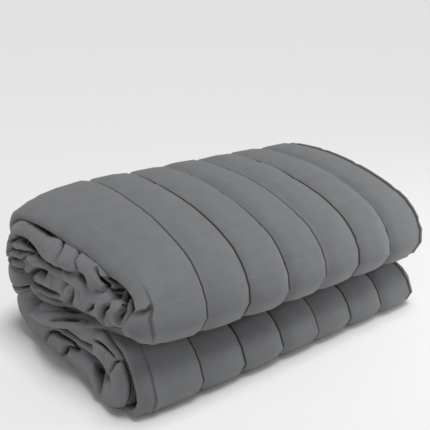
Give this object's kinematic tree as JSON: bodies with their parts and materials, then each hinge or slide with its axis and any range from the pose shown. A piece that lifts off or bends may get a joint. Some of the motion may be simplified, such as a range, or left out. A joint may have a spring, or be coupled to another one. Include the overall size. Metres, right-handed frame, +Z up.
{
  "type": "folded weighted blanket",
  "caption": "Grey quilted weighted blanket folded into a layered bundle that lies flat on a surface.",
  "frame": {"origin": "on the surface that the bundle lies on, under the middle of its box", "axes": "+X along the bundle, from the end with the loose hem and folded band edges to the closed end fold; +Y from the two flap folds at the front to the spine at the back; +Z up"},
  "size_m": [0.6396, 0.4209, 0.2543],
  "materials": {
    "cloth": "matte brushed cotton, quilted in squares"
  },
  "bodies": {
    "root": {"blanket": "cloth"}
  },
  "joints": []
}
